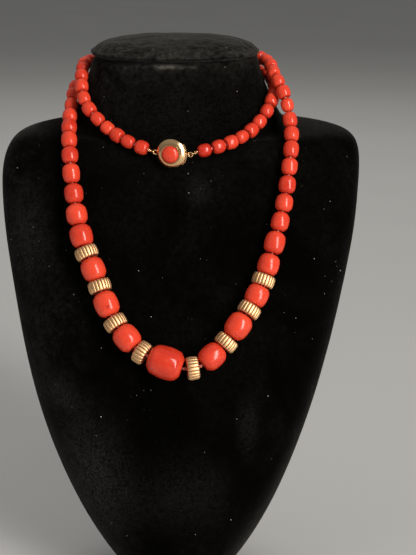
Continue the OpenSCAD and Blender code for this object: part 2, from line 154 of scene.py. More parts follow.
floor_finish, tree, shader = new_finish("pale floor")
drift = cloud(tree, place_on_piece(tree), scale=3.0, detail=3.0)
feed(tree, shader, Base_Color=mix(tree, drift, FLOOR_DARK, FLOOR_LIGHT), Roughness=0.9)
bpy.ops.mesh.primitive_plane_add(size=FLOOR_SIZE, location=(0, 0, 0))
floor = bpy.context.object
floor.name = "floor"
floor.data.materials.append(floor_finish)


# Neck bust: a padded core covered all over in black velvet, drawn tight and turned in under
# the flat foot. The pile is dusty in places, and painted pale as sheen on the ridge under the
# cap, round the top of the neck and along the left side.
VELVET_SHEEN = (0.80, 0.79, 0.72, 1)
# painted sheen: the pale colour the velvet is mixed towards where it is painted lighter
PAINTED_SHEEN = (0.075, 0.072, 0.062, 1)
LINT = (0.42, 0.41, 0.36, 1)
DUST = (0.12, 0.115, 0.105, 1)
CAD_MERGE = 0.002 * MM
QUAD_ANGLE = math.radians(60)
FACES_UP, FACES_DOWN = 0.97, -0.9
NECK_TOP_FROM = 255
NECK_FRONT_Y = -5
# painted sheen on the bust: a band down from the top of the neck, a ridge under the front of the cap and
# the left flank
BAND_SHEEN, BAND_FADE, BAND_REACH = 0.30, 6, 30
RIDGE_SHEEN, RIDGE_DOWN, RIDGE_X, RIDGE_FADE = 1.8, 1.6, -3, 13
FLANK_SHEEN = 0.16
DUSTY_PATCHES = (
    # middle and reach along x, y and z in millimetres, then strength
    ((-57, -50, 117), (15, 18, 13), 0.15),
    ((37, -62, 104), (9, 18, 25), 0.08),
    ((12, -25, 216), (10, 14, 11), 0.09),
    ((4, -70, 72), (40, 24, 34), 0.06),
    ((-46, -60, 70), (38, 44, 54), 0.27),
    ((-2, -20, 252), (86, 60, 44), 0.05),
    ((-2, -22, 258), (20, 14, 16), 0.03),
    ((-80, -30, 195), (24, 34, 46), 0.19),
    ((-75, -40, 120), (20, 34, 60), 0.12),
)


def deselect():
    if bpy.context.object and bpy.context.object.mode != "OBJECT":
        bpy.ops.object.mode_set(mode="OBJECT")
    bpy.ops.object.select_all(action="DESELECT")


def pick(piece):
    deselect()
    piece.hide_set(False)
    piece.select_set(True)
    bpy.context.view_layer.objects.active = piece


def edit(piece):
    pick(piece)
    bpy.ops.object.mode_set(mode="EDIT")
    bpy.ops.mesh.select_mode(type="VERT")
    bpy.ops.mesh.select_all(action="SELECT")


def done():
    bpy.ops.object.mode_set(mode="OBJECT")


def copy_of_node(node, name):
    pick(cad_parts[node])
    bpy.ops.object.duplicate()
    piece = bpy.context.object
    piece.name = name
    where_it_was = piece.matrix_world.copy()
    piece.parent = None
    piece.matrix_world = where_it_was
    for key in [key for key in piece.keys() if key.startswith("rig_")]:
        del piece[key]
    piece.data.materials.clear()
    edit(piece)
    bpy.ops.mesh.remove_doubles(threshold=CAD_MERGE)
    bpy.ops.mesh.customdata_custom_splitnormals_clear()
    done()
    return piece


def apply(piece, kind, **settings):
    pick(piece)
    step = piece.modifiers.new(kind.lower(), kind)
    for name, value in settings.items():
        setattr(step, name, value)
    bpy.ops.object.modifier_apply(modifier=step.name)


def smooth(piece, angle):
    pick(piece)
    bpy.ops.object.shade_smooth_by_angle(angle=math.radians(angle))


def points_of(mesh):
    flat = np.empty(len(mesh.vertices) * 3)
    mesh.vertices.foreach_get("co", flat)
    return flat.reshape(-1, 3)


def normals_of(mesh):
    return np.array([vertex.normal for vertex in mesh.vertices])


def move_points(mesh, points):
    mesh.vertices.foreach_set("co", np.ascontiguousarray(points).ravel())
    mesh.update()


def mark_points(piece, name, values):
    mark = piece.data.attributes.new(name, "FLOAT", "POINT")
    mark.data.foreach_set("value", values)


def level_through(points):
    """The plane z = a x + b y + c closest to the points, as (a, b, c)."""
    flat = np.column_stack([points[:, :2], np.ones(len(points))])
    return np.linalg.lstsq(flat, points[:, 2], rcond=None)[0]


def height_over(level, points):
    return points[:, 2] - points[:, :2] @ level[:2] - level[2]


def unevenness(points, broad, fine, broad_share, fine_share):
    """Smooth patches of two sizes in millimetres, each with its share."""
    return np.array([
        broad_share * noise.noise(Vector(point) / broad) + fine_share * noise.noise(Vector(point) / fine)
        for point in points])


def combine(tree, operation, first, second):
    return add_node(tree, "ShaderNodeMath", {0: first, 1: second}, operation=operation).outputs[0]


def open_group(name, inputs, outputs):
    """A shader node group with sockets from (name, kind) pairs, and what it is given."""
    group = bpy.data.node_groups.new(name, "ShaderNodeTree")
    for socket, kind in inputs:
        group.interface.new_socket(socket, in_out="INPUT", socket_type="NodeSocket" + kind)
    for socket, kind in outputs:
        group.interface.new_socket(socket, in_out="OUTPUT", socket_type="NodeSocket" + kind)
    return group, add_node(group, "NodeGroupInput").outputs


def use_group(tree, group, **values):
    return add_node(tree, "ShaderNodeGroup", values, node_tree=group)


def place(piece, node):
    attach(piece, "root")
    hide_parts(node)


def dress(piece, finish, node):
    piece.data.materials.append(finish)
    place(piece, node)


nap, given = open_group(
    "velvet nap", [("Velvet", "Color"), ("Brushed", "Color"), ("Lint", "Float"), ("Worn", "Float")],
    [("Colour", "Color"), ("Pile", "Float")])
where = place_on_piece(nap)
brushing = cloud(nap, where, scale=24.0, detail=5.0, Roughness=0.62, Distortion=0.6)
pile = cloud(nap, where, scale=2600.0, detail=2.0)
mottle = cloud(nap, where, scale=420.0, detail=4.0, Roughness=0.7)
grain = stretch(nap, mottle, 0.35, 0.7, to_low=0.15)
brushed = combine(nap, "MULTIPLY", stretch(nap, brushing, 0.40, 0.78), grain)
cloth = mix(nap, brushed, given["Velvet"], given["Brushed"])
# painted sheen: the velvet is mixed towards a pale colour by the painted amount, mottled by the grain
with_painted_sheen = mix(nap, combine(nap, "MULTIPLY", grain, given["Worn"]), cloth, PAINTED_SHEEN)
flecks = add_node(nap, "ShaderNodeTexVoronoi", {"Vector": where, "Scale": 330.0})
chance = add_node(nap, "ShaderNodeSeparateColor", {"Color": flecks.outputs["Color"]}).outputs
size = stretch(nap, chance["Green"], 0.0, 1.0, to_low=0.035, to_high=0.10)
kept = combine(nap, "LESS_THAN", chance["Red"], given["Lint"])
near = combine(nap, "LESS_THAN", flecks.outputs["Distance"], size)
faint = combine(nap, "POWER", chance["Blue"], 4.5)
speck = combine(nap, "MULTIPLY", combine(nap, "MULTIPLY", kept, near), faint)
add_node(nap, "NodeGroupOutput", {
    "Colour": mix(nap, speck, with_painted_sheen, LINT), "Pile": combine(nap, "ADD", mottle, pile)})

smear, given = open_group(
    "dust smear", [("Colour", "Color"), ("At", "Vector"), ("Reach", "Vector"), ("Strength", "Float")],
    [("Colour", "Color")])
where = place_on_piece(smear)
offset = add_node(smear, "ShaderNodeVectorMath", {0: where, 1: given["At"]}, operation="SUBTRACT")
scaled = add_node(
    smear, "ShaderNodeVectorMath", {0: offset.outputs[0], 1: given["Reach"]}, operation="DIVIDE")
far = add_node(smear, "ShaderNodeVectorMath", {0: scaled.outputs[0]}, operation="LENGTH")
fade = add_node(smear, "ShaderNodeMapRange", {
    "Value": far.outputs["Value"], "From Min": 1.0, "From Max": 0.0}, interpolation_type="SMOOTHSTEP")
crumbs = cloud(smear, where, scale=700.0, detail=5.0, Roughness=0.75)
patchy = combine(smear, "MULTIPLY", fade.outputs[0], stretch(smear, crumbs, 0.36, 0.72))
amount = combine(smear, "MULTIPLY", patchy, given["Strength"])
add_node(smear, "NodeGroupOutput", {"Colour": mix(smear, amount, given["Colour"], DUST)})


def velvet_finish(name, velvet, brushed, lint, sheen, smears=()):
    finish, tree, shader = new_finish(name)
    # the painted sheen amounts marked on the piece
    sheen_paint = add_node(tree, "ShaderNodeAttribute", attribute_name="painted")
    cloth = use_group(tree, nap, Velvet=velvet, Brushed=brushed, Lint=lint, Worn=sheen_paint.outputs["Fac"])
    colour = cloth.outputs["Colour"]
    for at, reach, strength in smears:
        dust = use_group(
            tree, smear, Colour=colour, At=[value * MM for value in at],
            Reach=[value * MM for value in reach], Strength=strength)
        colour = dust.outputs["Colour"]
    fuzz = add_node(tree, "ShaderNodeBump", {
        "Height": cloth.outputs["Pile"], "Strength": 0.6, "Distance": 0.5 * MM})
    feed(tree, shader, Base_Color=colour, Roughness=0.95, Normal=fuzz.outputs["Normal"])
    feed(tree, shader, Sheen_Weight=sheen, Sheen_Roughness=0.22, Sheen_Tint=VELVET_SHEEN)
    feed(tree, shader, Specular_IOR_Level=0.02)
    return finish


bust = copy_of_node("neck_bust", "velvet_bust")
edit(bust)
bpy.ops.mesh.tris_convert_to_quads(face_threshold=QUAD_ANGLE, shape_threshold=QUAD_ANGLE)
done()
apply(bust, "SUBSURF", levels=2, render_levels=2)
points = points_of(bust.data) / MM
normals = normals_of(bust.data)
neck_top = (normals[:, 2] > FACES_UP) & (points[:, 2] > NECK_TOP_FROM)
below = -height_over(level_through(points[neck_top]), points)
patches = unevenness(points, broad=7, fine=2.5, broad_share=1, fine_share=0.6)
# painted sheen, strongest on the ridge under the cap, weaker in a band round the top of the neck and on
# faces turned to the left
band = BAND_SHEEN * np.exp(-np.abs(below) / BAND_FADE) * np.clip(0.8 + patches, 0, 1) * (below < BAND_REACH)
front = np.clip(1.5 - np.abs(points[:, 0] - RIDGE_X) / RIDGE_FADE, 0, 1) * (points[:, 1] < NECK_FRONT_Y)
ridge = RIDGE_SHEEN * np.exp(-(below - RIDGE_DOWN) ** 2) * front * np.clip(0.75 + patches, 0.2, 1.2)
flank = FLANK_SHEEN * np.clip(-normals[:, 0] * 1.6 - 0.25, 0, 1) * np.clip(0.7 + patches, 0, 1)
mark_points(bust, "painted", band + ridge + flank)
smooth(bust, angle=60)
bust_velvet = velvet_finish(
    "black velvet", velvet=(0.0005, 0.0004, 0.0002, 1), brushed=(0.0054, 0.0052, 0.0040, 1),
    lint=0.50, sheen=0.12, smears=DUSTY_PATCHES)
dress(bust, bust_velvet, "neck_bust")


# Neck cap: a thin padded disc in the same velvet, puffed by its filling and sewn round the top
# of the neck. Its wall rolls out over the neck's side, and its edge is tucked in at the seam.
# The cap's velvet is painted lighter than the bust's, and painted sheen lightens its top and wall.
VOXEL = 1.1
CROWN = ((2.9, 2.95), (3.2, 4.7), (5.1, 6.35), (6.9, 7.15), (8.6, 8.0), (9.5, 8.6))
SEWN_BELOW = 1.6
PUFF, PUFF_PRESSURE, PUFF_STEPS = 0.7, 4, 20
LUMP = 0.35
STITCHES = 58
TUCK, TUCK_HEIGHT = 1.5, 1.2
ROLL, ROLL_AT, ROLL_HEIGHT = 0.6, 2.3, 1.5
SIDE_DROP = 0.9
RESTING_GAP = 0.05
# painted sheen on the cap's top and wall, and a spot at the front where less is painted
TOP_SHEEN, WALL_SHEEN = 0.17, 0.33
SHEEN_DIP, SHEEN_DIP_X, SHEEN_DIP_REACH = 0.55, 21, 10
CAP_FRONT_Y = 5

cap = copy_of_node("neck_cap", "velvet_cap")
apply(cap, "REMESH", mode="VOXEL", voxel_size=VOXEL * MM)
points = points_of(cap.data) / MM
seat = level_through(points[normals_of(cap.data)[:, 2] < FACES_DOWN])
rise = height_over(seat, points)
# the solid's flat top is raised to the padded crown: height in the solid, height of the pad
crown = rise > CROWN[0][0]
domed = np.interp(rise, [solid for solid, _ in CROWN], [real for _, real in CROWN])
points[:, 2] += domed * crown - rise * crown
move_points(cap.data, points * MM)

flat_shape = points.copy()
held = cap.vertex_groups.new(name="sewn down")
held.add([int(number) for number in np.flatnonzero(rise < SEWN_BELOW)], 1.0, "REPLACE")
pick(cap)
puffing = cap.modifiers.new("puffing", "CLOTH")
puffing.settings.use_pressure = True
puffing.settings.uniform_pressure_force = PUFF_PRESSURE
puffing.settings.vertex_group_mass = "sewn down"
puffing.settings.effector_weights.gravity = 0
puffing.point_cache.frame_end = PUFF_STEPS
for step in range(1, PUFF_STEPS + 1):
    bpy.context.scene.frame_set(step)
bpy.ops.object.modifier_apply(modifier=puffing.name)
bpy.context.scene.frame_set(1)
shift = points_of(cap.data) / MM - flat_shape
moved = np.linalg.norm(shift, axis=1)
points = flat_shape + shift * np.minimum(1, PUFF / np.maximum(moved, 1e-6))[:, None]
lumps = unevenness(points, broad=9, fine=4, broad_share=1, fine_share=0.5)
points[:, 2] += LUMP * lumps * (height_over(seat, points) > 0.8)
move_points(cap.data, points * MM)
apply(cap, "SUBSURF", levels=1, render_levels=1)

points = points_of(cap.data) / MM
rise = height_over(seat, points)
spoke = points[:, :2] - points.mean(0)[:2]
turn = np.arctan2(spoke[:, 1], spoke[:, 0])
half_sizes = np.ptp(points[:, :2], axis=0) / 2
outer = np.clip(np.linalg.norm(spoke / half_sizes, axis=1) * 5 - 4, 0, 1)
stitched = 0.8 + 0.2 * np.cos(turn * STITCHES + 2 * np.sin(turn * 5))
tucked = TUCK * np.clip(1 - rise / TUCK_HEIGHT, 0, 1) * stitched
tucked -= ROLL * np.clip(1 - np.abs(rise - ROLL_AT) / ROLL_HEIGHT, 0, 1)
points[:, :2] -= spoke / np.linalg.norm(spoke, axis=1)[:, None] * (tucked * outer)[:, None]
sideways = np.clip(np.abs(spoke[:, 0]) / np.abs(spoke[:, 0]).max() * 3 - 1.9, 0, 1)
points[:, 2] -= SIDE_DROP * sideways * outer * np.clip(1.6 - rise / 3, 0, 1)
# the underside is laid just over the rounded top of the neck
neck = BVHTree.FromPolygons(
    [vertex.co for vertex in bust.data.vertices], [face.vertices for face in bust.data.polygons])
for number in np.flatnonzero(rise < 3):
    on_neck, facing, _, _ = neck.find_nearest(Vector(points[number]) * MM)
    if (Vector(points[number]) * MM - on_neck).dot(facing) < RESTING_GAP * MM:
        points[number] = on_neck / MM + facing * RESTING_GAP
move_points(cap.data, points * MM)

# painted sheen on the cap: some on the top, more on the wall, patchy, and less on one spot at the front
# right
patches = unevenness(points, broad=7, fine=2.2, broad_share=0.6, fine_share=0.8)
patches -= SHEEN_DIP * np.exp(-((points[:, 0] - SHEEN_DIP_X) / SHEEN_DIP_REACH) ** 2) * (points[:, 1] < CAP_FRONT_Y)
wall = np.clip((rise - 1.0) / 1.2, 0, 1) * np.clip(1.5 - rise / 6, 0, 1)
painted = (TOP_SHEEN + WALL_SHEEN * wall) * np.clip(0.95 + 0.9 * patches, 0.25, 1.5) * (rise > 1.0)
mark_points(cap, "painted", np.clip(painted, 0, 1))
smooth(cap, angle=80)
# painted sheen: the same velvet as the bust, with colours about three times lighter
cap_velvet_painted_lighter = velvet_finish(
    "cap velvet painted lighter", velvet=(0.0018, 0.0017, 0.0013, 1), brushed=(0.016, 0.0152, 0.0125, 1),
    lint=0.75, sheen=0.16)
dress(cap, cap_velvet_painted_lighter, "neck_cap")


# Coral beads: hand-cut barrels of orange-red coral, drilled through and polished. No two are
# quite alike. Some keep a pit of the raw coral, one large bead is chipped, and the small one
# to the right of the clasp is darker than the rest.
MERGE = 0.0005 * MM
BORE = 0.75
MOUTH_WIDTH, MOUTH_DEPTH = 0.16, 0.22
END_FACE = 0.52
BULGE = 1.1
CORNER = 0.54
LOBES = ((1, 0.022), (2, 0.03), (3, 0.018))
MOST_TAPER = 0.035
ROUND_WITHIN = 1.0
DEEP_CORAL = (0.53, 0.023, 0.010, 1)
BRIGHT_CORAL = (0.84, 0.072, 0.031, 1)
PALE_CORAL = (0.86, 0.13, 0.06, 1)
RAW_CORAL = (0.24, 0.014, 0.009, 1)
CHIP_AT = Vector((-31.7, -57.5, 165.7)) * MM
DARK_CORAL_AT = Vector((16, -24.5, 235.5)) * MM
DARK_TONE = -1.0
PER_SIDE = 12


def line_of_points(name, points):
    deselect()
    bpy.ops.mesh.primitive_plane_add(size=MM)
    piece = bpy.context.object
    piece.name = name
    edit(piece)
    bpy.ops.mesh.merge(type="CENTER")
    bpy.ops.transform.translate(value=Vector(points[0]))
    for start, end in zip(points, points[1:]):
        step = Vector(end) - Vector(start)
        bpy.ops.mesh.extrude_vertices_move(TRANSFORM_OT_translate={"value": step})
    done()
    return piece


def close_up():
    bpy.ops.mesh.select_all(action="SELECT")
    bpy.ops.mesh.remove_doubles(threshold=MERGE)
    bpy.ops.mesh.normals_make_consistent(inside=False)
    done()


def turned(name, profile, steps, closed=False):
    """A shape turned on a lathe from (radius, height) pairs in millimetres, axis along Z."""
    ring = profile + profile[:1] if closed else profile
    piece = line_of_points(name, [(r * MM, 0, z * MM) for r, z in ring])
    edit(piece)
    bpy.ops.mesh.spin(steps=steps, angle=2 * math.pi, center=(0, 0, 0), axis=(0, 0, 1))
    close_up()
    return piece


def solids_of(node):
    """Middle, axis, length and diameter of every loose drilled solid of a node, in metres."""
    spare = copy_of_node(node, "spare")
    edit(spare)
    bpy.ops.mesh.separate(type="LOOSE")
    done()
    found = []
    for solid in list(bpy.context.selected_objects):
        points = points_of(solid.data)
        faces = {}
        for face in solid.data.polygons:
            key = tuple(round(value, 2) for value in face.normal)
            faces[key] = faces.get(key, 0) + face.area
        flat = Vector(max(faces, key=faces.get))
        ends = [face for face in solid.data.polygons if face.normal.dot(flat) > 0.9995 * flat.length]
        axis = sum((face.normal * face.area for face in ends), Vector()).normalized()
        line = np.array(axis)
        along = points @ line
        middle = points.mean(0)
        middle += line * ((along.max() + along.min()) / 2 - middle @ line)
        across = points - middle - np.outer((points - middle) @ line, line)
        diameter = 2 * np.linalg.norm(across, axis=1).max()
        found.append((Vector(middle), axis, along.max() - along.min(), diameter))
        bpy.data.objects.remove(solid)
    return found


def turn_to(middle, axis, twist):
    upright = axis.to_track_quat("Z", "Y").to_matrix().to_4x4()
    return Matrix.Translation(middle) @ upright @ Matrix.Rotation(twist, 4, "Z")


def bead_profile(length, diameter, rings):
    """Half profile of a barrel bead, from one mouth of its hole round the side to the other."""
    half = length / 2
    bulge_radius = BULGE * length
    corner_radius = max(math.hypot(END_FACE * diameter / 2, half), CORNER * diameter)
    face_edge = math.sqrt(max(corner_radius ** 2 - half ** 2, 0.01))
    rows = [(BORE, 0), (BORE, length / 4), (BORE, half - MOUTH_DEPTH), (BORE + MOUTH_WIDTH, half)]
    rows.append(((BORE + face_edge) / 2, half))
    for ring in range(rings):
        z = half * math.cos(math.pi / 2 * ring / (rings - 1))
        side = diameter / 2 - bulge_radius + math.sqrt(bulge_radius ** 2 - z * z)
        rows.append((min(side, math.sqrt(corner_radius ** 2 - z * z)), z))
    return rows + [(r, -z) for r, z in reversed(rows) if z > 1e-6]


def coral_bead(name, solid, steps, rings, seed):
    middle, axis, length, diameter = solid
    piece = turned(name, bead_profile(length / MM, diameter / MM, rings), steps, closed=True)
    chance = np.random.default_rng(seed)
    points = points_of(piece.data) / MM
    reach = np.hypot(points[:, 0], points[:, 1])
    side = np.clip((reach - ROUND_WITHIN) / (diameter / MM / 2 - ROUND_WITHIN), 0, 1)
    angle = np.arctan2(points[:, 1], points[:, 0])
    height = points[:, 2] / (length / MM / 2)
    shrink = np.zeros(len(points))
    for lobes, depth in LOBES:
        turn, lean = chance.uniform(0, 2 * math.pi), chance.uniform(-1.2, 1.2)
        swell = (1 + np.cos(lobes * angle + turn + lean * height)) / 2
        shrink += depth * chance.uniform(0.4, 1) * swell
    taper = chance.uniform(-MOST_TAPER, MOST_TAPER)
    shrink += np.abs(taper) - taper * height
    points[:, :2] *= (1 - shrink * side)[:, None]
    move_points(piece.data, points * MM)
    piece.data.transform(turn_to(middle, axis, chance.uniform(0, 2 * math.pi)))
    mark_points(piece, "tone", np.full(len(points), chance.uniform(0, 1)))
    return piece


def join(pieces, name):
    pick(pieces[0])
    for piece in pieces[1:]:
        piece.select_set(True)
    bpy.ops.object.join()
    pieces[0].name = name
    return pieces[0]


coral_body, given = open_group(
    "coral body", [("Deep", "Color"), ("Bright", "Color"), ("Pale", "Color"), ("Tone", "Float")],
    [("Colour", "Color"), ("Polish", "Float"), ("Relief", "Float")])
where = place_on_piece(coral_body)
clouded = stretch(coral_body, cloud(coral_body, where, scale=95.0, detail=4.0, Roughness=0.55), 0.3, 0.7)
toned = combine(coral_body, "ADD", clouded, given["Tone"])
body = mix(coral_body, combine(coral_body, "MULTIPLY", toned, 0.5), given["Deep"], given["Bright"])
veins = cloud(coral_body, where, scale=620.0, detail=3.0, Distortion=1.0)
veined = mix(coral_body, stretch(coral_body, veins, 0.5, 0.75, to_high=0.2), body, given["Pale"])
pores = add_node(coral_body, "ShaderNodeTexVoronoi", {"Vector": where, "Scale": 300.0}).outputs
chance = add_node(coral_body, "ShaderNodeSeparateColor", {"Color": pores["Color"]}).outputs
open_pore = combine(coral_body, "LESS_THAN", chance["Red"], 0.07)
pit = combine(coral_body, "MULTIPLY", open_pore, stretch(coral_body, pores["Distance"], 0.11, 0.04))
chip_way = add_node(coral_body, "ShaderNodeVectorMath", {0: where, 1: CHIP_AT}, operation="SUBTRACT")
chip_far = add_node(coral_body, "ShaderNodeVectorMath", {0: chip_way.outputs[0]}, operation="LENGTH")
ragged = combine(coral_body, "MULTIPLY", veins, 2.4 * MM)
chip_edge = combine(coral_body, "ADD", chip_far.outputs["Value"], ragged)
chip = stretch(coral_body, chip_edge, 2.1 * MM, 1.7 * MM, to_high=0.6)
marks = combine(coral_body, "MAXIMUM", pit, chip)
swirl = cloud(coral_body, where, scale=240.0, detail=2.0)
add_node(coral_body, "NodeGroupOutput", {
    "Colour": mix(coral_body, marks, veined, RAW_CORAL),
    "Polish": stretch(coral_body, swirl, 0.3, 0.7, to_low=0.15, to_high=0.24),
    "Relief": combine(coral_body, "SUBTRACT", swirl, marks)})

coral_finish, tree, shader = new_finish("polished coral")
tone = add_node(tree, "ShaderNodeAttribute", attribute_name="tone").outputs["Fac"]
coral = use_group(tree, coral_body, Deep=DEEP_CORAL, Bright=BRIGHT_CORAL, Pale=PALE_CORAL, Tone=tone)
waves = add_node(tree, "ShaderNodeBump", {
    "Height": coral.outputs["Relief"], "Strength": 0.12, "Distance": 0.2 * MM})
feed(tree, shader, Base_Color=coral.outputs["Colour"], Roughness=coral.outputs["Polish"])
feed(tree, shader, Normal=waves.outputs["Normal"], Specular_IOR_Level=0.42)

graded_nodes = ["coral_centre"]
graded_nodes += [f"coral_{side}_{k}" for side in ("left", "right") for k in range(1, PER_SIDE + 1)]
solids = {}
for number, node in enumerate(graded_nodes):
    solids[node] = solids_of(node)[0]
    bead = coral_bead("bead_" + node, solids[node], steps=56, rings=16, seed=40 + number)
    smooth(bead, angle=50)
    dress(bead, coral_finish, node)

for side, seed in (("left", 300), ("right", 500)):
    node = "bead_string_" + side
    solids[node] = solids_of(node)
    beads = []
    for number, solid in enumerate(solids[node]):
        bead = coral_bead("small bead", solid, steps=32, rings=9, seed=seed + number)
        if (solid[0] - DARK_CORAL_AT).length < 5 * MM:
            tones = np.full(len(bead.data.vertices), DARK_TONE)
            bead.data.attributes["tone"].data.foreach_set("value", tones)
        beads.append(bead)
    string = join(beads, "beads_" + side)
    smooth(string, angle=50)
    dress(string, coral_finish, node)


# Rondelles: pale gold rings with rounded flutes all round the rim, which part the large corals.
# Each is pressed from thin gold, with dished ends and a hole for the silk.
FLUTES = 18
STEPS_PER_FLUTE = 12
FLUTE_DEPTH = 0.62
GROOVE_SHARPNESS = 2.6
RONDELLE_R = 5.8
RONDELLE_TWIST = 0.37
RONDELLES_PER_SIDE = 4
RONDELLE_GOLD = (1.0, 0.61, 0.31, 1)
# painted shade for the bottoms of the flutes, also the colour of the gold's real stains
STAIN_AND_GROOVE_SHADE = (0.20, 0.08, 0.025, 1)

stained_gold_with_groove_shade, given = open_group(
    "stained gold with painted groove shade", [("Gold", "Color"), ("Shadow", "Color"), ("Groove_shade", "Float")],
    [("Colour", "Color"), ("Polish", "Float"), ("Relief", "Float")])
where = place_on_piece(stained_gold_with_groove_shade)
stained = stretch(stained_gold_with_groove_shade, cloud(stained_gold_with_groove_shade, where, scale=260.0, detail=4.0), 0.5, 0.85, to_high=0.2)
# the real stains and the painted shade in the grooves both darken the gold
dark = combine(stained_gold_with_groove_shade, "MAXIMUM", stained, given["Groove_shade"])
scuff = cloud(stained_gold_with_groove_shade, where, scale=1500.0, detail=2.0)
add_node(stained_gold_with_groove_shade, "NodeGroupOutput", {
    "Colour": mix(stained_gold_with_groove_shade, dark, given["Gold"], given["Shadow"]),
    "Polish": stretch(stained_gold_with_groove_shade, scuff, 0.3, 0.7, to_high=0.1),
    "Relief": scuff})


def gold_finish(name, gold, satin, grooved):
    finish, tree, shader = new_finish(name)
    painted = use_group(tree, stained_gold_with_groove_shade, Gold=gold, Shadow=STAIN_AND_GROOVE_SHADE)
    # grooved pieces get painted shade in their flutes
    if grooved:
        groove_shade = add_node(tree, "ShaderNodeAttribute", attribute_name="groove_shade").outputs["Fac"]
        tree.links.new(groove_shade, painted.inputs["Groove_shade"])
    polish = combine(tree, "ADD", painted.outputs["Polish"], satin)
    scuffs = add_node(tree, "ShaderNodeBump", {
        "Height": painted.outputs["Relief"], "Strength": 0.05, "Distance": 0.03 * MM})
    feed(tree, shader, Base_Color=painted.outputs["Colour"], Roughness=polish)
    feed(tree, shader, Normal=scuffs.outputs["Normal"], Metallic=1.0)
    return finish


rim = [
    (BORE, 0), (BORE, 2.0), (BORE + 0.4, 2.3), (2.4, 2.38), (3.8, 2.46), (4.15, 2.62), (4.4, 2.82),
    (4.65, 2.87), (4.95, 2.84), (5.2, 2.7), (5.42, 2.45), (5.58, 2.1), (5.69, 1.65), (5.76, 1.1),
    (5.79, 0.5), (RONDELLE_R, 0),
]
rim += [(r, -z) for r, z in reversed(rim) if z > 0]
rondelle = turned("rondelle", rim, steps=FLUTES * STEPS_PER_FLUTE, closed=True)
points = points_of(rondelle.data) / MM
reach = np.hypot(points[:, 0], points[:, 1])
turn = np.arctan2(points[:, 1], points[:, 0]) * FLUTES / (2 * math.pi)
# 0 on the back of a rib, nearly 1 at the bottom of the groove, where a crease would be too sharp
from_rib = np.abs(1.98 * (turn - np.round(turn)))
groove = 1 - np.sqrt(1 - from_rib ** GROOVE_SHARPNESS * 0.97)
cut = FLUTE_DEPTH * groove * np.clip((reach - 4.5) / 0.7, 0, 1)
points[:, :2] *= ((reach - cut) / reach)[:, None]
move_points(rondelle.data, points * MM)
# painted shade: the gold is darkened towards the bottom of each groove
groove_shade = (groove - 0.22) * 2.4 * np.clip((reach - 4.3) / 0.6, 0, 1)
mark_points(rondelle, "groove_shade", np.clip(groove_shade, 0, 1))
rondelle.data.materials.append(gold_finish("rondelle gold", RONDELLE_GOLD, satin=0.43, grooved=True))
smooth(rondelle, angle=70)

rondelle_nodes = [
    f"rondelle_{side}_{k}" for side in ("left", "right") for k in range(1, RONDELLES_PER_SIDE + 1)]
for number, node in enumerate(rondelle_nodes):
    solids[node] = solids_of(node)[0]
    pick(rondelle)
    bpy.ops.object.duplicate()
    ring = bpy.context.object
    ring.name = "gold_" + node
    ring.data.transform(turn_to(solids[node][0], solids[node][1], RONDELLE_TWIST * number))
    place(ring, node)
bpy.data.objects.remove(rondelle)


# Box clasp: a round gold box with a polished domed cover and a coral in a bezel. A tongue on
# the right-hand end plate slides into the box, and wire loops hook both ends of the string.
CLASP_AT = Vector((-0.4, -21.8, 234.6)) * MM
CLASP_TURN, CLASP_ROLL = math.radians(14), math.radians(-1.5)
CLASP_GOLD = (1.0, 0.65, 0.33, 1)
WIRE_R = 0.33
RING_R = 1.1
LOOP_R = 1.0
BOX_R = 6.8
COVER_R = 7.4
BEZEL_IN = 4.5
COVER_SEAT = 4.0
BACK_TO_RING = 1.7
RING_STUD = 0.8
END_PLAY = 0.55
PLATE_THICK = 0.6
RIGHT_STUD = 0.4
SOLDERED_IN = 0.2
SLOT_MIDDLE, SLOT_SIZE = 4.8, (7.6, 5.24, 1.14)
TONGUE_MIDDLE, TONGUE_SIZE, TONGUE_BEVEL = 4.2, (6.0, 5.0, 0.9), 0.12
CABOCHON_R, CABOCHON_GIRDLE, CABOCHON_DOME = 4.25, 5.62, 2.16
CABOCHON_TONE = 0.6
PLATE_IN = BOX_R + END_PLAY
PLATE_OUT = PLATE_IN + PLATE_THICK
PLATE_SPREAD = math.radians(42)
RING_LEFT_X = -(BOX_R + RING_STUD + RING_R)
RING_RIGHT_X = PLATE_OUT + RIGHT_STUD + RING_R
LOOP_PLAY = 0.14
LOOP_STEP = LOOP_R - 2 * WIRE_R - LOOP_PLAY
COLLAR_SHORT = 0.3
THREAD_START = Vector((11.6, -24.2, 235.4)) * MM
THREAD_END = Vector((-12.8, -20.3, 235.8)) * MM


def frame_at(at, x, y, z):
    rows = [[x[k], y[k], z[k], at[k]] for k in range(3)]
    return Matrix(rows + [[0, 0, 0, 1]])


def on_back(x):
    return Matrix.Translation(Vector((x, 0, BACK_TO_RING)) * MM)


def block(x, size):
    deselect()
    bpy.ops.mesh.primitive_cube_add(size=MM)
    piece = bpy.context.object
    piece.data.transform(on_back(x) @ Matrix.Diagonal((*size, 1)))
    return piece


def wire_ring(name, radius, set_at):
    deselect()
    bpy.ops.mesh.primitive_torus_add(
        major_radius=radius * MM, minor_radius=WIRE_R * MM, major_segments=48, minor_segments=16)
    ring = bpy.context.object
    ring.name = name
    ring.data.transform(set_at)
    return ring


def wire_stud(x, length):
    piece = turned("stud", [(0, 0), (WIRE_R, 0), (WIRE_R, length), (0, length)], steps=20)
    piece.data.transform(on_back(x) @ Matrix.Rotation(math.pi / 2, 4, "Y"))
    return piece


clasp_out = Vector((-math.sin(CLASP_TURN), -math.cos(CLASP_TURN), 0))
clasp_level = Vector((math.cos(CLASP_TURN), -math.sin(CLASP_TURN), 0))
clasp_right = clasp_level * math.cos(CLASP_ROLL) + clasp_out.cross(clasp_level) * math.sin(CLASP_ROLL)
clasp_up = clasp_out.cross(clasp_right)
on_clasp = frame_at(CLASP_AT, clasp_right, clasp_up, clasp_out)
clasp_gold = gold_finish("clasp gold", CLASP_GOLD, satin=0.13, grooved=False)

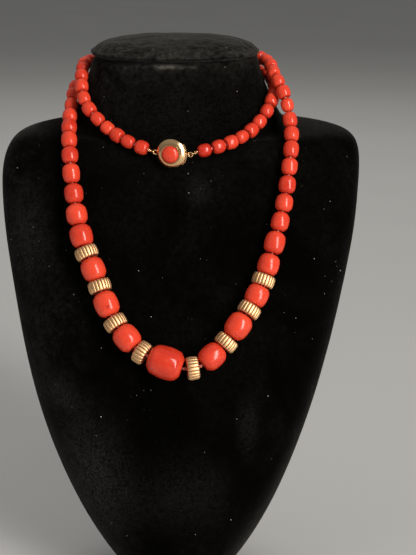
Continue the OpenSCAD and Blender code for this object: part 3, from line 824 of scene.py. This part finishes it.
box_wall = [(0, 0), (5.9, 0), (6.45, 0.1), (6.7, 0.32), (BOX_R, 0.65), (BOX_R, 3.3)]
cover_lip = [(6.95, 3.41), (7.25, 3.41), (7.37, 3.46), (COVER_R, 3.54), (7.37, 3.63), (7.25, 3.74)]
cover_dome = [
    (7.0, 3.96), (6.7, 4.2), (6.35, 4.45), (6.0, 4.67), (5.65, 4.85), (5.35, 4.96), (5.15, 5.0)]
bezel = [(5.04, 5.04), (5.0, 5.2), (4.98, 5.5), (4.88, 5.66), (4.7, 5.7), (4.52, 5.66), (4.46, 5.56)]
bezel_well = [(BEZEL_IN, 5.0), (BEZEL_IN, COVER_SEAT), (0, COVER_SEAT)]
box = turned("clasp_body", box_wall + cover_lip + cover_dome + bezel + bezel_well, steps=96)
slot_cutter = block(SLOT_MIDDLE, SLOT_SIZE)
apply(box, "BOOLEAN", object=slot_cutter, operation="DIFFERENCE", solver="EXACT")
bpy.data.objects.remove(slot_cutter)
left_ring = wire_ring("left ring", RING_R, on_back(RING_LEFT_X))
left_stud = wire_stud(RING_LEFT_X + RING_R, RING_STUD + SOLDERED_IN)
box = join([box, left_ring, left_stud], "clasp_body")
box.data.transform(on_clasp)
smooth(box, angle=35)
dress(box, clasp_gold, "clasp_box")

dome = [(0, 4.12), (4.2, 4.12), (CABOCHON_R, 4.3), (CABOCHON_R, CABOCHON_GIRDLE)]
for lift in np.linspace(0, math.pi / 2, 15)[1:-1]:
    dome.append((CABOCHON_R * math.cos(lift), CABOCHON_GIRDLE + CABOCHON_DOME * math.sin(lift)))
dome.append((0, CABOCHON_GIRDLE + CABOCHON_DOME))
cabochon = turned("clasp_cabochon", dome, steps=64)
mark_points(cabochon, "tone", np.full(len(cabochon.data.vertices), CABOCHON_TONE))
cabochon.data.transform(on_clasp)
smooth(cabochon, angle=50)
dress(cabochon, coral_finish, "clasp_coral")

plate_outline = [
    (PLATE_IN, 0.3), (PLATE_IN, 3.2), (PLATE_IN + 0.12, 3.28), (PLATE_IN + 0.48, 3.28),
    (PLATE_OUT, 3.16), (PLATE_OUT, 0.4), (PLATE_IN + 0.48, 0.26), (PLATE_IN + 0.12, 0.25),
    (PLATE_IN, 0.3),
]
plate = line_of_points("end plate", [(x * MM, 0, z * MM) for x, z in plate_outline])
edit(plate)
bpy.ops.mesh.remove_doubles(threshold=MERGE)
bpy.ops.mesh.select_all(action="SELECT")
bpy.ops.mesh.edge_face_add()
bpy.ops.mesh.spin(steps=28, angle=2 * PLATE_SPREAD, center=(0, 0, 0), axis=(0, 0, 1))
close_up()
points = points_of(plate.data)
spun = np.arctan2(points[:, 1], points[:, 0])
plate.data.transform(Matrix.Rotation(-(spun.max() + spun.min()) / 2, 4, "Z"))
tongue = block(TONGUE_MIDDLE, TONGUE_SIZE)
apply(tongue, "BEVEL", width=TONGUE_BEVEL * MM, segments=2)
right_ring = wire_ring("right ring", RING_R, on_back(RING_RIGHT_X))
right_stud = wire_stud(PLATE_IN + PLATE_THICK / 2, PLATE_THICK / 2 + RIGHT_STUD)
end_piece = join([plate, tongue, right_stud, right_ring], "clasp_end_piece")
end_piece.data.transform(on_clasp)
smooth(end_piece, angle=35)
dress(end_piece, clasp_gold, "clasp_tongue")


def hook_point(ring_x, thread_at):
    """Where a loop's wire hangs in the clasp's ring, on the side towards the thread's end."""
    ring_at = on_clasp @ (Vector((ring_x, 0, BACK_TO_RING)) * MM)
    way = thread_at - ring_at
    return ring_at + (way - clasp_out * way.dot(clasp_out)).normalized() * RING_R * MM


def end_loop(name, node, ring_x, thread_at):
    hook = hook_point(ring_x, thread_at)
    way = (thread_at - hook).normalized()
    side = clasp_out.cross(way).normalized()
    start = LOOP_STEP + LOOP_R
    end = (thread_at - hook).length / MM - COLLAR_SHORT
    collar = turned("collar", [
        (0, start), (0.7, start), (0.88, start + 0.08), (0.95, start + 0.22), (0.9, start + 0.4),
        (0.78, start + 0.5), (0.78, end - 0.5), (0.9, end - 0.4), (0.95, end - 0.2),
        (0.9, end - 0.05), (0.75, end), (0.6, end - 0.06), (0.55, end - 0.2), (0.55, end - 0.8),
        (0.5, end - 0.98), (0, end - 1.0)], steps=32)
    collar.data.transform(Matrix.Rotation(math.pi / 2, 4, "Y"))
    wire = wire_ring("loop", LOOP_R, Matrix.Translation(Vector((LOOP_STEP, 0, 0)) * MM))
    loop = join([collar, wire], name)
    loop.data.transform(frame_at(hook, way, side.cross(way), side))
    smooth(loop, angle=50)
    dress(loop, clasp_gold, node)


end_loop("loop_left", "end_loop_left", RING_LEFT_X, THREAD_END)
end_loop("loop_right", "end_loop_right", RING_RIGHT_X, THREAD_START)


# Silk: one pinkish twisted thread through every bead, with a knot on each side of every bead
# so that the corals don't rub and none is lost if the silk breaks.
THREAD_R = 0.4
IN_COLLAR = 0.9
COIL_R, COIL_THREAD_R = 0.44, 0.36
COILS = ((-0.16, 0.35), (0.16, -0.3))
KNOT_GAP = 0.72
WIDEST_KNOT = 1.6
DARK_SILK = (0.42, 0.045, 0.035, 1)
LIGHT_SILK = (0.88, 0.35, 0.28, 1)


def ends_of(solid):
    middle, axis, length, _ = solid
    return [middle - axis * length / 2, middle + axis * length / 2]


def outward(node_solids, start):
    """The near and far end of each solid along the string, each next one nearest the last end."""
    left, here, line = list(node_solids), start, []
    while left:
        best = min(left, key=lambda solid: min((end - here).length for end in ends_of(solid)))
        near, far = sorted(ends_of(best), key=lambda end: (end - here).length)
        line.append((near, far))
        here = far
        left.remove(best)
    return line


def collar_point(ring_x, thread_at):
    hook = hook_point(ring_x, thread_at)
    return thread_at + (hook - thread_at).normalized() * IN_COLLAR * MM


centre_ends = sorted(ends_of(solids["coral_centre"]), key=lambda end: end.x)
line = [(collar_point(RING_RIGHT_X, THREAD_START), THREAD_START)]
for side, start in (("left", centre_ends[0]), ("right", centre_ends[1])):
    graded = [solids[f"coral_{side}_{k}"] for k in range(1, PER_SIDE + 1)]
    graded += [solids[f"rondelle_{side}_{k}"] for k in range(1, RONDELLES_PER_SIDE + 1)]
    run = outward(graded, start)
    run += outward(solids["bead_string_" + side], run[-1][1])
    if side == "left":
        line += [(far, near) for near, far in reversed(run)] + [tuple(centre_ends)]
    else:
        line += run
line.append((THREAD_END, collar_point(RING_LEFT_X, THREAD_END)))

path = bpy.data.curves.new("thread path", "CURVE")
path.dimensions = "3D"
spline = path.splines.new("POLY")
stations = [point for ends in line for point in ends]
spline.points.add(len(stations) - 1)
for point, at in zip(spline.points, stations):
    point.co = (*at, 1)
path.bevel_depth = THREAD_R * MM
path.bevel_resolution = 3
path.use_fill_caps = True
thread = bpy.data.objects.new("silk", path)
bpy.context.collection.objects.link(thread)
pick(thread)
bpy.ops.object.convert(target="MESH")
thread = bpy.context.object

deselect()
bpy.ops.mesh.primitive_torus_add(
    major_radius=COIL_R * MM, minor_radius=COIL_THREAD_R * MM, major_segments=14, minor_segments=8)
coil = bpy.context.object
knots = [thread]
chance = np.random.default_rng(7)
for (_, before), (after, _) in zip(line, line[1:]):
    gap = (after - before).length / MM
    way = (after - before).normalized()
    squeeze = Matrix.Diagonal((1, 1, min(1.0, 0.5 * gap / KNOT_GAP), 1))
    for part, tilt in COILS:
        pick(coil)
        bpy.ops.object.duplicate()
        knot = bpy.context.object
        twist = Matrix.Rotation(chance.uniform(0, 2 * math.pi), 4, "Z") @ Matrix.Rotation(tilt, 4, "X")
        middle = (before + after) / 2 + way * part * min(gap, WIDEST_KNOT) * MM
        knot.data.transform(turn_to(middle, way, 0) @ squeeze @ twist)
        knots.append(knot)
bpy.data.objects.remove(coil)
silk = join(knots, "silk_thread")
smooth(silk, angle=70)

silk_finish, tree, shader = new_finish("pink silk")
strands = cloud(tree, place_on_piece(tree), scale=2600.0, detail=2.0)
dye = mix(tree, strands, DARK_SILK, LIGHT_SILK)
ply = add_node(tree, "ShaderNodeBump", {"Height": strands, "Strength": 0.5, "Distance": 0.1 * MM})
feed(tree, shader, Base_Color=dye, Roughness=0.6, Normal=ply.outputs["Normal"])
feed(tree, shader, Sheen_Weight=0.06, Sheen_Roughness=0.4)
dress(silk, silk_finish, "thread")
